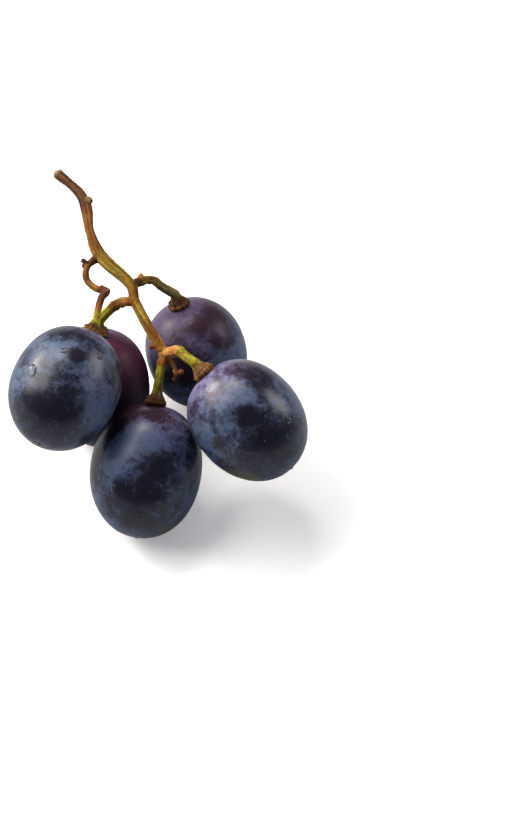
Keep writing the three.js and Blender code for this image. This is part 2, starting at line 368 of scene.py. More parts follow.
def mark_skin(piece, grape, marks, unripe):
    """Stores how thick the bloom is, with its painted light and shade, how green the skin is, and how
    near each point is to the stem.
    """
    mesh = piece.data
    bloom = mesh.attributes.new("bloom_wear_and_painted_light", "FLOAT", "POINT")
    green = mesh.attributes.new("unripe", "FLOAT", "POINT")
    share = mesh.attributes.new("towards_stem", "FLOAT", "POINT")
    for vertex in mesh.vertices:
        away = vertex.co - grape["middle"]
        thickness = 0.0
        for heading, rise, size, amount in marks:
            thickness += amount * math.exp(-((over_the_skin(away, heading, rise) / size) ** 2))
        bloom.data[vertex.index].value = thickness
        if unripe:
            green.data[vertex.index].value = math.exp(-((over_the_skin(away, *unripe) / UNRIPE_SIZE) ** 2))
        share.data[vertex.index].value = 0.5 + away.dot(grape["axis"]) / grape["length"]


print("a green patch is about", 2 * UNRIPE_SIZE, "mm across")

# %% [markdown]
# ## Helpers for materials
# A material is a small tree of nodes. Writing every link by hand hides what the tree does, so one helper
# adds a node and takes its settings and its inputs together. An input is either a value or the output of
# another node.

# %% Helpers for materials
def add_node(tree, kind, inputs=(), **settings):
    """Adds a node. Each input is a value to set or another node's output to link."""
    node = tree.nodes.new(kind)
    for name, value in settings.items():
        setattr(node, name, value)
    for name, value in dict(inputs).items():
        if isinstance(value, bpy.types.NodeSocket):
            tree.links.new(value, node.inputs[name])
        else:
            node.inputs[name].default_value = value
    return node


def calculate(tree, operation, first, second, clamp=False):
    node = add_node(tree, "ShaderNodeMath", {0: first, 1: second}, operation=operation, use_clamp=clamp)
    return node.outputs[0]


def mix_colours(tree, share, first, second, blend="MIX"):
    node = add_node(tree, "ShaderNodeMix", {0: share, 6: first, 7: second}, data_type="RGBA",
                    blend_type=blend)
    return node.outputs[2]


def mix_values(tree, share, first, second):
    return add_node(tree, "ShaderNodeMix", {0: share, 2: first, 3: second}).outputs[0]


def fade(tree, value, start, end):
    """0 below start, 1 above end, and a smooth step between them."""
    node = add_node(tree, "ShaderNodeMapRange", {"Value": value, "From Min": start, "From Max": end},
                    interpolation_type="SMOOTHSTEP")
    return node.outputs[0]


def cloud(tree, place, size, detail=3.0, roughness=0.55):
    """Soft noise whose blots are about size millimetres across."""
    node = add_node(tree, "ShaderNodeTexNoise", {
        "Vector": place, "Scale": 1 / size, "Detail": detail, "Roughness": roughness})
    return node.outputs["Fac"]


def stored(tree, name, output="Fac"):
    """Reads what was stored on a piece's own mesh."""
    return add_node(tree, "ShaderNodeAttribute", attribute_name=name).outputs[output]


def rgb(red, green, blue):
    return (red, green, blue, 1.0)


print("material helpers are ready")

# %% [markdown]
# ## Effects that several finishes share
# Bloom on the skin and dust on the bark are both thin, patchy layers with ragged edges, and both the
# skin and the bark are dotted with tiny pores. Each of these effects is a node group with its own inputs,
# so that every material can use it at its own size and strength.

# %% Start a node group, and use one
def start_group(name, inputs, outputs):
    """An empty node group, with the sockets that its own nodes read from and write to."""
    group = bpy.data.node_groups.new(name, "ShaderNodeTree")
    for label, kind, value in inputs:
        socket = group.interface.new_socket(label, in_out="INPUT", socket_type=kind)
        if value is not None:
            socket.default_value = value
    for label, kind in outputs:
        group.interface.new_socket(label, in_out="OUTPUT", socket_type=kind)
    entry = group.nodes.new("NodeGroupInput")
    leave = group.nodes.new("NodeGroupOutput")
    return group, entry.outputs, leave.inputs


def use_group(tree, group, **inputs):
    """Places a group in a material. An underscore stands for the space in an input's name."""
    node = tree.nodes.new("ShaderNodeGroup")
    node.node_tree = group
    for name, value in inputs.items():
        socket = node.inputs[name.replace("_", " ")]
        if isinstance(value, bpy.types.NodeSocket):
            tree.links.new(value, socket)
        else:
            socket.default_value = value
    return node.outputs


print("a group is built once and used by several materials")

# %% [markdown]
# ### A patchy layer
# The layer's thickness is an amount plus two noises, one for whole patches and one for the grain of
# their edges. It covers a point fully where the thickness is well over a half, and not at all where it is
# well under. The softness says how wide the step between the two is.

# %% Patchy layer
def centred_noise(tree, place, size, reach, detail, distortion):
    """Noise that swings about 0, with blots of a given size."""
    scale = calculate(tree, "DIVIDE", 1.0, size)
    node = add_node(tree, "ShaderNodeTexNoise", {
        "Vector": place, "Scale": scale, "Detail": detail, "Roughness": 0.62, "Distortion": distortion})
    return calculate(tree, "MULTIPLY", calculate(tree, "SUBTRACT", node.outputs["Fac"], 0.5), reach)


patchy_layer, given, made = start_group(
    "Patchy layer",
    [
        ("Place", "NodeSocketVector", None),
        ("Amount", "NodeSocketFloat", 0.5),
        ("Patch size", "NodeSocketFloat", 6.0),
        ("Grain size", "NodeSocketFloat", 0.8),
        ("Raggedness", "NodeSocketFloat", 1.0),
        ("Softness", "NodeSocketFloat", 0.12),
    ],
    [("Cover", "NodeSocketFloat"), ("Thickness", "NodeSocketFloat")],
)
tree = patchy_layer
patches = centred_noise(tree, given["Place"], given["Patch size"], 1.5, 4.0, 0.5)
grain = centred_noise(tree, given["Place"], given["Grain size"], 0.9, 3.0, 0.25)
ragged = calculate(tree, "MULTIPLY", calculate(tree, "ADD", patches, grain), given["Raggedness"])
thickness = calculate(tree, "ADD", given["Amount"], ragged)
cover = add_node(tree, "ShaderNodeMapRange", {
    "Value": thickness, "From Min": calculate(tree, "SUBTRACT", 0.5, given["Softness"]),
    "From Max": calculate(tree, "ADD", 0.5, given["Softness"])},
    interpolation_type="SMOOTHSTEP").outputs[0]
tree.links.new(cover, made["Cover"])
tree.links.new(thickness, made["Thickness"])
print("Patchy layer has", len(tree.nodes), "nodes")

# %% [markdown]
# ### Pores
# A pore is a tiny round dot. Voronoi cells put one point in each cell, and the distance to that point
# draws the dot. Each cell also has a random colour, which is used to leave some of the cells without one.

# %% Pores
pores_group, given, made = start_group(
    "Pores",
    [
        ("Place", "NodeSocketVector", None),
        ("Spacing", "NodeSocketFloat", 1.5),
        ("Pore size", "NodeSocketFloat", 0.12),
        ("Share", "NodeSocketFloat", 0.5),
    ],
    [("Pores", "NodeSocketFloat")],
)
tree = pores_group
cells = add_node(tree, "ShaderNodeTexVoronoi", {
    "Vector": given["Place"], "Scale": calculate(tree, "DIVIDE", 1.0, given["Spacing"]),
    "Randomness": 1.0})
near = calculate(tree, "MULTIPLY", cells.outputs["Distance"], given["Spacing"])
dot = add_node(tree, "ShaderNodeMapRange", {
    "Value": near, "From Min": given["Pore size"],
    "From Max": calculate(tree, "MULTIPLY", given["Pore size"], 0.4)},
    interpolation_type="SMOOTHSTEP").outputs[0]
cell_number = add_node(tree, "ShaderNodeSeparateColor", {0: cells.outputs["Color"]}).outputs[0]
chosen = calculate(tree, "LESS_THAN", cell_number, given["Share"])
tree.links.new(calculate(tree, "MULTIPLY", dot, chosen), made["Pores"])
print("Pores has", len(tree.nodes), "nodes")

# %% [markdown]
# ## Grape skin
# The skin itself is nearly black, with purple in it, and turns maroon or green where less sun reached
# it. The bloom over it looks slate blue and lilac close to the stem. Thick bloom scatters the light, so
# it is rough, while rubbed skin is smooth and mirrors the windows. Painting one picture of this would
# tie it to one view, so the pattern is grown from the place of each point in millimetres, together with
# the marks stored on the skin.

# %% Places for a material
def place_in_mm(tree, shift):
    """The place of each point in millimetres, shifted so that each piece gets its own part of the noise."""
    spot = add_node(tree, "ShaderNodeTexCoord").outputs["Object"]
    scaled = add_node(tree, "ShaderNodeVectorMath", {0: spot, "Scale": 1 / MM}, operation="SCALE")
    moved = add_node(tree, "ShaderNodeVectorMath", {0: scaled.outputs[0], 1: shift}, operation="ADD")
    return moved.outputs[0]


def near_point(tree, point, radius):
    """1 at a point, falling to 0 at a radius from it, both in metres."""
    spot = add_node(tree, "ShaderNodeTexCoord").outputs["Object"]
    distance = add_node(tree, "ShaderNodeVectorMath", {0: spot, 1: point}, operation="DISTANCE")
    return fade(tree, distance.outputs["Value"], radius, radius * 0.55)


print("patterns are drawn in millimetres, and one metre is", round(1 / MM), "of them")

# %% [markdown]
# ### The bloom
# One patchy layer looks like a map with hard coasts. Three of them, from broad patches down to specks,
# each dim the wax where they are bare, and together they look wiped and dusty. A thin trace of wax stays
# even on rubbed skin.

# %% The bloom
BARE_SHARE = 0.36
TRACE_OF_WAX = 0.12


def bloom_on_skin(tree, place, amount):
    """How much wax covers each point, from 0 to 1, and the relief of its blots."""
    more = calculate(tree, "ADD", amount, 0.06)
    evened = calculate(tree, "ADD", calculate(tree, "MULTIPLY", amount, 0.4), 0.5)
    patches = use_group(tree, patchy_layer, Place=place, Amount=amount, Patch_size=4.6, Grain_size=1.4,
                        Raggedness=1.3, Softness=0.46)
    blots = use_group(tree, patchy_layer, Place=place, Amount=more, Patch_size=2.0, Grain_size=0.7,
                      Raggedness=1.4, Softness=0.34)
    specks = use_group(tree, patchy_layer, Place=place, Amount=evened, Patch_size=1.1, Grain_size=0.35,
                       Raggedness=1.5, Softness=0.22)
    wax = patches["Cover"]
    for finer in (blots, specks):
        wax = calculate(tree, "MULTIPLY", wax, mix_values(tree, finer["Cover"], BARE_SHARE, 1.0))
    wax = calculate(tree, "MAXIMUM", wax, calculate(tree, "MULTIPLY", blots["Cover"], TRACE_OF_WAX))
    powdery = cloud(tree, place, 0.5, roughness=0.7)
    wax = calculate(tree, "MULTIPLY", wax, mix_values(tree, powdery, 0.9, 1.5), clamp=True)
    return wax, blots["Thickness"]


print("rubbed skin keeps a trace of about", round(100 * TRACE_OF_WAX), "% of the wax")

# %% [markdown]
# ### The colours
# The skin under the wax is mixed first, then the wax, and then the wax is laid over the skin. Both change
# towards the stem. Where the skin is green it has lost most of its bloom. Last come the pores and the
# scar, which no wax hides.

# %% The colours of a grape
UNRIPE_GREEN = rgb(0.075, 0.085, 0.018)
DULL_WAX = rgb(0.15, 0.165, 0.22)
PORE_GREY = rgb(0.3, 0.28, 0.32)
SCAR_BROWN = rgb(0.07, 0.035, 0.015)
SCAR_STAIN = 0.62 * MM


def skin_colour(tree, place, grape, finish, wax):
    """The colour of each point of a grape, and how much wax is left where the green parts lose theirs."""
    near_stem = fade(tree, stored(tree, "towards_stem"), finish["lilac_from"], 1.0)
    under = mix_colours(tree, cloud(tree, place, 7.0), finish["dark"], finish["purple"])
    blush = calculate(tree, "MULTIPLY", near_stem, finish["maroon"])
    under = mix_colours(tree, blush, under, finish["maroon_colour"])
    ragged = calculate(tree, "MULTIPLY", cloud(tree, place, 1.6), 0.5)
    green = fade(tree, calculate(tree, "ADD", stored(tree, "unripe"), ragged), 0.55, 1.15)
    under = mix_colours(tree, green, under, UNRIPE_GREEN)
    kept = calculate(tree, "SUBTRACT", 1.0, calculate(tree, "MULTIPLY", green, 0.75))
    wax = calculate(tree, "MULTIPLY", wax, kept)

    powder = mix_colours(tree, near_stem, finish["blue"], finish["lilac"])
    duller = mix_colours(tree, 0.3, powder, DULL_WAX)
    powder = mix_colours(tree, fade(tree, cloud(tree, place, 3.0), 0.35, 0.7), powder, duller)
    colour = mix_colours(tree, wax, under, powder)

    pores = use_group(tree, pores_group, Place=place, Spacing=1.7, Pore_size=0.13, Share=0.35)
    colour = mix_colours(tree, calculate(tree, "MULTIPLY", pores["Pores"], 0.5), colour, PORE_GREY)
    scar = near_point(tree, grape["blossom_end"], SCAR_STAIN)
    colour = mix_colours(tree, calculate(tree, "MULTIPLY", scar, 0.9), colour, SCAR_BROWN)
    return colour, wax


print("the scar's stain is", round(2 * SCAR_STAIN / MM, 1), "mm across")

# %% Grape skin
SKIN_IOR = 1.45
PATTERN_SHIFT = (31.7, 17.9, 23.3)


def grape_skin(grape, finish, seed):
    """One grape's own skin. The seed moves its pattern, so that no two grapes look alike."""
    material = bpy.data.materials.new(grape["node"].replace("grape", "skin"))
    material.use_nodes = True
    tree = material.node_tree
    skin = tree.nodes["Principled BSDF"]
    place = place_in_mm(tree, [seed * shift for shift in PATTERN_SHIFT])
    amount = calculate(tree, "ADD", stored(tree, "bloom_wear_and_painted_light"), finish["bloom"])
    wax, relief = bloom_on_skin(tree, place, amount)
    colour, wax = skin_colour(tree, place, grape, finish, wax)

    fine = calculate(tree, "ADD", calculate(tree, "MULTIPLY", cloud(tree, place, 0.35), 0.35),
                     calculate(tree, "MULTIPLY", relief, 0.65))
    bump = add_node(tree, "ShaderNodeBump", {"Height": fine, "Strength": 0.16, "Distance": 0.12 * MM})
    tree.links.new(colour, skin.inputs["Base Color"])
    tree.links.new(mix_values(tree, wax, finish["bare_gloss"], finish["wax_gloss"]), skin.inputs["Roughness"])
    tree.links.new(bump.outputs[0], skin.inputs["Normal"])
    skin.inputs["IOR"].default_value = SKIN_IOR
    skin.inputs["Specular IOR Level"].default_value = finish["shine"]
    return material


print("the skin bends light by", SKIN_IOR)

# %% [markdown]
# ### How each grape differs
# The grapes share one finish, and each changes only a few values of it. The two at the back hang nearer
# the wood and are redder and duller. Bloom is an amount, gloss is a roughness, and lilac_from is how far
# towards the stem the lilac starts, from 0 at the blossom end to 1 at the stem.

# %% How each grape differs
SKIN = {
    "bloom": 0.56,
    "bare_gloss": 0.26,
    "wax_gloss": 0.36,
    "shine": 0.5,
    "lilac_from": 0.72,
    "maroon": 0.4,
    "dark": rgb(0.0045, 0.0045, 0.011),
    "purple": rgb(0.012, 0.008, 0.020),
    "maroon_colour": rgb(0.07, 0.022, 0.045),
    "blue": rgb(0.064, 0.095, 0.180),
    "lilac": rgb(0.17, 0.160, 0.32),
}

# What each grape changes.
FINISHES = {
    "grape_front_left": {"lilac_from": 0.8},
    "grape_back_left": {"bloom": 0.40, "maroon": 0.95, "lilac_from": 0.55, "bare_gloss": 0.42, "shine": 0.14,
                        "maroon_colour": rgb(0.095, 0.022, 0.05), "purple": rgb(0.020, 0.006, 0.018)},
    # The front middle grape's bloom is a little paler and thicker, as painted light where the front left
    # grape hides the window.
    "grape_front_middle": {"maroon": 0.6, "blue": rgb(0.070, 0.102, 0.205), "bloom": 0.6},
    "grape_back_right": {"bloom": 0.80, "lilac_from": 0.35, "maroon": 0.40, "bare_gloss": 0.36,
                         "shine": 0.24, "lilac": rgb(0.088, 0.055, 0.120)},
    "grape_right": {"lilac_from": 0.66, "bloom": 0.55},
}

# Each mark: heading, rise, size in millimetres, and amount of bloom. Most marks are wear, and the ones noted
# below are painted light and shade.
WEAR_AND_PAINTED_LIGHT_MARKS = {
    "grape_front_left": [
        (-95, 40, 3.0, -0.3), (-115, 25, 4.0, -0.35), (-85, 30, 3.6, -0.3), (0, 75, 1.2, -1.3),
        (20, 80, 1.2, -0.5), (50, 55, 3.0, -0.3), (95, 55, 3.0, -0.3), (120, 80, 3.0, 0.2),
        (-50, 15, 4.5, 0.3), (-175, 30, 4.0, 0.1), (-45, 55, 3.5, 0.1), (-30, 25, 3.0, 0.15),
        # Painted shade: the bare marks at (-95, 0) and (-140, 5), low on the grape.
        (-95, 0, 6.0, -0.2), (-140, 5, 5.0, -0.25), (-70, 60, 2.5, -0.15), (-10, 20, 3.0, -0.3),
        (-160, 55, 4.0, -0.05),
    ],
    "grape_right": [
        (-90, 60, 1.6, -1.7), (25, 75, 3.0, -0.45), (125, 70, 3.0, -0.3), (-170, 30, 2.5, -0.25),
        (-145, 20, 5.0, 0.25), (-120, 75, 3.5, 0.25), (-70, 35, 4.0, -0.3), (-90, 10, 5.0, -0.3),
        (0, 35, 3.5, 0.15), (-125, 20, 1.4, -0.6), (-40, 20, 4.0, -0.2), (155, 25, 4.0, 0.3),
        (60, 55, 3.0, -0.25),
    ],
    "grape_front_middle": [
        # Painted light: the thicker bloom at (-155, 45) and (-175, 70), where the front left grape hides the
        # window.
        (-60, 55, 2.8, -0.6), (-90, 35, 2.6, -0.45), (-115, 30, 2.0, -0.4), (65, 65, 2.6, -0.6),
        # Painted shade: the bare marks at (165, 35) and (150, 55) in that grape's shadow, and at (-85, 10)
        # and (-115, 5) low down.
        (-85, 10, 6.0, -0.4), (-50, 80, 3.5, 0.3), (-155, 45, 3.6, 0.6), (-175, 70, 2.6, 0.5),
        (-10, 45, 3.0, 0.05), (115, 40, 4.5, -0.9), (165, 35, 3.8, -1.0), (15, 30, 4.0, -0.45),
        (-45, 10, 3.0, 0.1), (-170, 15, 4.0, -0.6), (150, 55, 3.0, -1.0), (-115, 5, 4.0, -0.25),
    ],
    "grape_back_right": [
        (15, 70, 2.4, -1.3), (-70, 80, 1.8, -1.3), (-40, 60, 1.3, -1.0), (60, 50, 2.5, -0.7),
        (-105, 30, 5.0, -0.9), (-20, 50, 2.0, -0.5), (-165, 25, 4.0, 0.2),
    ],
    "grape_back_left": [
        # Painted shade: the bare mark at (-25, 40) on its right front, between the other grapes.
        (30, 55, 4.5, -0.5), (-25, 40, 7.0, -0.8), (70, 60, 2.5, 0.45), (-120, 70, 3.5, 0.6),
    ],
}

# Where a grape lay against its neighbours on the vine, the skin stayed green: heading and rise.
UNRIPE = {"grape_front_middle": (-65, -30), "grape_right": (-95, -25)}
print(sum(len(marks) for marks in WEAR_AND_PAINTED_LIGHT_MARKS.values()), "marks on", len(WEAR_AND_PAINTED_LIGHT_MARKS), "grapes")

# %% [markdown]
# ## Making the grapes
# Now every grape is spun, laid in its place, marked and given its skin. Each new piece rides on the one
# body of the bunch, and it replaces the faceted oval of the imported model.

# %% Make the grapes
for seed, (node, grape) in enumerate(grapes.items(), start=1):
    shape = spin_grape(grape["width"], grape["length"])
    place_grape(shape, grape, seed)
    piece = finish_mesh(node.replace("grape_", "") + "_grape", shape)
    mark_skin(piece, grape, WEAR_AND_PAINTED_LIGHT_MARKS[node], UNRIPE.get(node))
    piece.data.materials.append(grape_skin(grape, {**SKIN, **FINISHES[node]}, seed))
    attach(piece, "root")
    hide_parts(node)
    print(piece.name, len(piece.data.polygons), "faces")

# %% [markdown]
# ## The stem as a family of stalks
# The stem has one main stalk, which a grower calls the rachis, and a side stalk to each grape. All of it
# is one grown piece, so it ends as one mesh. Each stalk starts as a smooth line that passes through a few
# points, with a thickness and a tone along it. The forks are reached step by step from the cap of the
# front middle grape, so the stem follows the grapes.

# %% Lines for stalks
CAP_GAP = 0.3 * MM
CAP_DEPTH = 2.5 * MM


def step_from(start, length, heading, rise):
    """The point at the end of a straight step, whose length is in millimetres."""
    return start + direction(heading, rise) * (length * MM)


def bent_line(start, end, bends):
    """Each bend is a share of the way, then the millimetres to the right of the line and above it."""
    along = end - start
    side = Vector((0, 0, -1)).cross(along).normalized()
    above = side.cross(along).normalized()
    return [
        start,
        *[start + along * share + (side * right + above * up) * MM for share, right, up in bends],
        end,
    ]


def cap_base(node):
    """The middle of the cap's face, just off the stem end of the grape."""
    grape = grapes[node]
    return grape["stem_end"] + grape["axis"] * CAP_GAP


def cap_end(node):
    """Where the cap has narrowed down to the stalk."""
    return cap_base(node) + grapes[node]["axis"] * CAP_DEPTH


def tone_between(stops, share):
    """The tone at a share of the way along, where stops are pairs of a share and a tone."""
    for (before, first), (after, second) in zip(stops, stops[1:]):
        if share <= after:
            mix = (share - before) / max(1e-6, after - before)
            return Vector(first).lerp(Vector(second), max(0.0, min(1.0, mix)))
    return Vector(stops[-1][1])


print("cap of the right grape starts at", [round(v / MM, 1) for v in cap_base("grape_right")])

# %% [markdown]
# ### A stalk
# A stalk is sampled along a smooth line through its points. Each sample keeps its place, its radius, its
# tone and how far along it is. It also keeps two side directions, so that a later step can tell how far
# round the stalk a point of the bark lies. The sides are carried from sample to sample without twisting.

# %% Sample a smooth line
LINE_STEP = 0.22 * MM
stalks = {}


def sample_line(points, radii):
    """Places along a smooth line through the points, and the radius at each."""
    last = len(points) - 1
    ways = [(points[min(i + 1, last)] - points[max(i - 1, 0)]).normalized() for i in range(last + 1)]
    spots = []
    thick = []
    for i in range(last):
        start, end = points[i], points[i + 1]
        pull = (end - start).length / 3
        count = max(2, round((end - start).length / LINE_STEP))
        bow = interpolate_bezier(start, start + ways[i] * pull, end - ways[i + 1] * pull, end, count + 1)
        for k in range(count + 1 if i == last - 1 else count):
            share = k / count
            ease = share * share * (3 - 2 * share)
            spots.append(bow[k].copy())
            thick.append(radii[i] + (radii[i + 1] - radii[i]) * ease)
    return spots, thick


def carry_sides(spots):
    """Two directions square to the line at each place, carried along it without twisting."""
    side = (spots[1] - spots[0]).orthogonal().normalized()
    sides = []
    for k in range(len(spots)):
        way = (spots[min(k + 1, len(spots) - 1)] - spots[max(k - 1, 0)]).normalized()
        side = (side - way * side.dot(way)).normalized()
        sides.append((side.copy(), way.cross(side)))
    return sides


print("stalks are sampled every", round(LINE_STEP / MM, 2), "mm")

# %% Add a stalk or a knob
KNOB_STEP = Vector((0, 0, 0.05 * MM))


def add_stalk(name, points, radii, tones, swellings=(), ridge_depth=0.085, ridge_phase=0.0, cork=0.0):
    """Keeps a stalk under its name. Radii are in millimetres, and a swelling is a share of the way, an
    extra radius and a width."""
    spots, thick = sample_line(points, radii)
    travelled = [0.0]
    for first, second in zip(spots, spots[1:]):
        travelled.append(travelled[-1] + (second - first).length / MM)
    total = travelled[-1]
    for share, extra, width in swellings:
        for k, distance in enumerate(travelled):
            thick[k] += extra * math.exp(-(((distance - share * total) / width) ** 2))
    stalks[name] = {
        "spots": spots,
        "radii": thick,
        "travelled": travelled,
        "sides": carry_sides(spots),
        "tones": [tone_between(tones, distance / total) for distance in travelled],
        "ridge_depth": ridge_depth,
        "ridge_phase": ridge_phase,
        "cork": cork,
    }


def add_knob(name, spot, radius, tone):
    """A small rounded lump, such as a bud or the scar of a lost twig."""
    ends = [spot - KNOB_STEP, spot + KNOB_STEP]
    add_stalk(name, ends, [radius, radius], [(0, tone), (1, tone)], ridge_depth=0.0)
    stalks[name]["knob"] = True


def on_side(name, share, heading, rise, lift=0.9):
    """A point near a stalk's surface, at a share of the way along it, on the side that faces a
    direction. A lift of 1 lies right on the surface."""
    stalk = stalks[name]
    goal = share * stalk["travelled"][-1]
    offsets = [abs(distance - goal) for distance in stalk["travelled"]]
    k = offsets.index(min(offsets))
    side, other = stalk["sides"][k]
    facing = direction(heading, rise)
    out = (side * facing.dot(side) + other * facing.dot(other)).normalized()
    return stalk["spots"][k] + out * (stalk["radii"][k] * lift * MM)


print("a knob is a stalk that is only", round(2 * KNOB_STEP.length / MM, 1), "mm long")

# %% [markdown]
# ### Tones
# The wood is reddish brown where it is old, olive and amber on the younger parts, and green next to the
# fruit. Each tone has a name here, and every stalk states where along it which tone is reached.

# %% Tones of the stem
BARK_RED = (0.092, 0.025, 0.009)
BARK = (0.088, 0.036, 0.008)
BARK_DARK = (0.045, 0.016, 0.007)
OCHRE = (0.290, 0.130, 0.013)
AMBER = (0.205, 0.083, 0.006)
OLIVE = (0.310, 0.205, 0.028)
TAN = (0.600, 0.310, 0.085)
RUST = (0.270, 0.078, 0.014)
GREEN = (0.350, 0.335, 0.026)
DEEP_GREEN = (0.215, 0.190, 0.024)
GREY_GREEN = (0.250, 0.200, 0.070)
CORK = (0.250, 0.135, 0.052)
CORK_BROWN = (0.170, 0.086, 0.034)
CORK_DARK = (0.090, 0.044, 0.018)
CORK_RUST = (0.165, 0.045, 0.015)
CUT_WOOD = (0.270, 0.190, 0.098)
print("tones go from dark cork to the pale cut wood")

# %% [markdown]
# ### The main stalk
# The forks are reached one after another, from the tip up to the cut end, and each step has a length, a
# heading and a rise. The stalk is thickest at the top fork and at an old node above it, where a leaf or a
# tendril once grew. It shows pale wood where it was snipped.

# %% The main stalk
tip_fork = step_from(cap_base("grape_front_middle"), 9.6, 75, 45.5)
left_fork = step_from(tip_fork, 12.2, 119, 14)
right_fork = step_from(left_fork, 3.5, 106, 23)
top_fork = step_from(right_fork, 8.2, 139, 17)
old_node = step_from(top_fork, 11.5, 105, 9)
cut_end = step_from(old_node, 11.0, 123, -5)

upper_bend = bent_line(top_fork, old_node, [(0.5, -0.6, 0.2)])[1]
last_bends = bent_line(old_node, cut_end, [(0.3, 0.7, 0.3), (0.6, 0.5, 0.3)])[1:3]
add_stalk(
    "main",
    [tip_fork, left_fork, right_fork, top_fork, upper_bend, old_node, *last_bends, cut_end],
    [0.98, 1.0, 1.08, 1.28, 0.9, 1.15, 1.02, 0.9, 1.08],
    [(0, OCHRE), (0.05, OCHRE), (0.12, AMBER), (0.2, OLIVE), (0.3, AMBER), (0.36, OLIVE), (0.5, OLIVE),
     (0.54, AMBER), (0.70, AMBER), (0.76, BARK_RED), (0.82, BARK), (0.975, BARK),
     (0.99, CUT_WOOD), (1, CUT_WOOD)],
    ridge_depth=0.13,
)
print("main stalk is", round(stalks["main"]["travelled"][-1], 1), "mm long")

# %% [markdown]
# ### Side stalks
# A side stalk leaves its fork in an arch and ends at the neck of a cap. The bends are stated from the
# straight line between its two ends, so a stalk keeps its character if its grape is moved. A grower calls
# the stalk of a single grape a pedicel.

# %% Side stalks
add_stalk(
    "to_front_middle",
    bent_line(tip_fork, cap_end("grape_front_middle"), [(0.4, 0.1, 0.5)]),
    [0.9, 0.82, 0.92],
    [(0, OCHRE), (0.16, RUST), (0.3, OCHRE), (0.4, GREEN), (0.8, DEEP_GREEN), (1, DEEP_GREEN)],
    swellings=[(0.22, 0.22, 0.5), (0.55, 0.05, 0.6)], ridge_phase=1.0,
)
add_stalk(
    "to_right",
    bent_line(tip_fork, cap_end("grape_right"), [(0.2, -0.5, 0.5), (0.38, -0.9, 0.9), (0.65, -0.5, 0.5)]),
    [0.98, 1.05, 1.0, 0.92, 1.0],
    [(0, TAN), (0.42, TAN), (0.5, GREEN), (0.8, GREEN), (1, OLIVE)],
    swellings=[(0.28, 0.12, 0.5), (0.47, 0.14, 0.45)], ridge_phase=2.0,
)
add_stalk(
    "to_back_left",
    bent_line(left_fork, cap_end("grape_back_left"), [(0.2, 0.5, 0.9), (0.4, 0.6, 1.2), (0.7, 0.5, 0.6)]),
    [1.0, 0.9, 0.95, 0.95, 1.02],
    [(0, OCHRE), (0.12, RUST), (0.22, TAN), (0.42, OCHRE), (0.5, OCHRE), (0.6, GREEN), (1, GREEN)],
    swellings=[(0.25, 0.08, 0.5), (0.47, 0.12, 0.45)], ridge_phase=3.0,
)
add_stalk(
    "to_back_right",
    bent_line(right_fork, cap_end("grape_back_right"),
              [(0.14, -0.2, 1.0), (0.25, -0.4, 1.6), (0.40, -0.3, 1.9), (0.62, 0, 1.1)]),
    [1.0, 0.92, 0.8, 0.8, 0.88, 0.95],
    [(0, OLIVE), (0.07, BARK_RED), (0.14, BARK), (0.2, OLIVE), (0.48, OLIVE), (0.6, GREY_GREEN),
     (1, GREY_GREEN)],
    swellings=[(0.2, 0.15, 0.5), (0.47, 0.1, 0.5)], ridge_phase=4.0,
)
TWIG_BENDS = [
    (0.14, 2.1, 0.1), (0.27, 2.6, 0.1), (0.39, 2.0, 0.0), (0.5, 0.3, 0.2),
    (0.56, -1.6, 0.6), (0.66, -0.9, 0.8), (0.85, -0.3, 0.5),
]
twig_points = bent_line(top_fork, cap_end("grape_front_left"), TWIG_BENDS)
add_stalk(
    "to_front_left",
    twig_points,
    [0.95, 0.66, 0.64, 0.64, 0.68, 0.82, 0.72, 0.68, 0.78],
    [(0, BARK), (0.1, BARK_RED), (0.22, OCHRE), (0.35, BARK), (0.5, OCHRE), (0.56, BARK_RED),
     (0.78, BARK_RED), (0.86, RUST), (0.94, GREEN), (1, GREEN)],
    swellings=[(0.3, 0.06, 0.5)], ridge_phase=5.0,
)
for name in ("to_front_middle", "to_right", "to_back_left", "to_back_right", "to_front_left"):
    print(name, round(stalks[name]["travelled"][-1], 1), "mm")

# %% [markdown]
# ## Caps
# Where a pedicel meets its grape it flares into a corky cap with a torn rim, which is sunk a little into
# the fruit. A cap is one more straight stalk whose radius grows fast, stated step by step from the grape
# outwards. It could be turned as a bowl instead, but as a stalk it grows into its pedicel without a seam.

# %% Caps
CAP_STEPS = (-0.75, -0.15, 0.15, 0.4, 0.65, 0.85, 1.1, 1.5, 2.1, 2.9)
CAP_RADII = (1.8, 2.05, 2.15, 2.0, 1.75, 1.8, 1.5, 1.2, 1.05, 0.95)
NECK_RADIUS = 0.8


def add_cap(node, rim, body, neck, phase, width=1.0, torn=0.05):
    """A cap on a grape, with the tones of its rim, body and neck. Only its flare grows with the width."""
    base = cap_base(node)
    axis = grapes[node]["axis"]
    points = [base + axis * (height * MM) for height in CAP_STEPS]
    radii = [NECK_RADIUS + (radius - NECK_RADIUS) * width for radius in CAP_RADII]
    add_stalk(
        "cap_" + node, points, radii,
        [(0, rim), (0.32, rim), (0.45, body), (0.6, body), (0.85, neck), (1, neck)],
        ridge_depth=torn, ridge_phase=phase, cork=1.0,
    )


add_cap("grape_front_middle", CORK_DARK, CORK_DARK, DEEP_GREEN, 0.4)
add_cap("grape_right", CORK_BROWN, CORK_BROWN, GREEN, 1.7, width=1.15)
add_cap("grape_back_left", CORK, CORK, GREEN, 2.2, width=0.9, torn=0.035)
add_cap("grape_back_right", CORK_BROWN, CORK_DARK, GREY_GREEN, 3.1, torn=0.035)
add_cap("grape_front_left", CORK, CORK_DARK, GREEN, 4.5)
print("caps are", round(2 * max(CAP_RADII), 1), "mm across")

# %% [markdown]
# ## Buds, scars and warts
# Old buds, the stubs of dead twigs and small warts tell the age of the wood. They are short stalks and
# rounded knobs, which will grow into the bark when everything is joined. The old scar is a stub that was
# snipped long ago, so its end is pale with a dark heart.

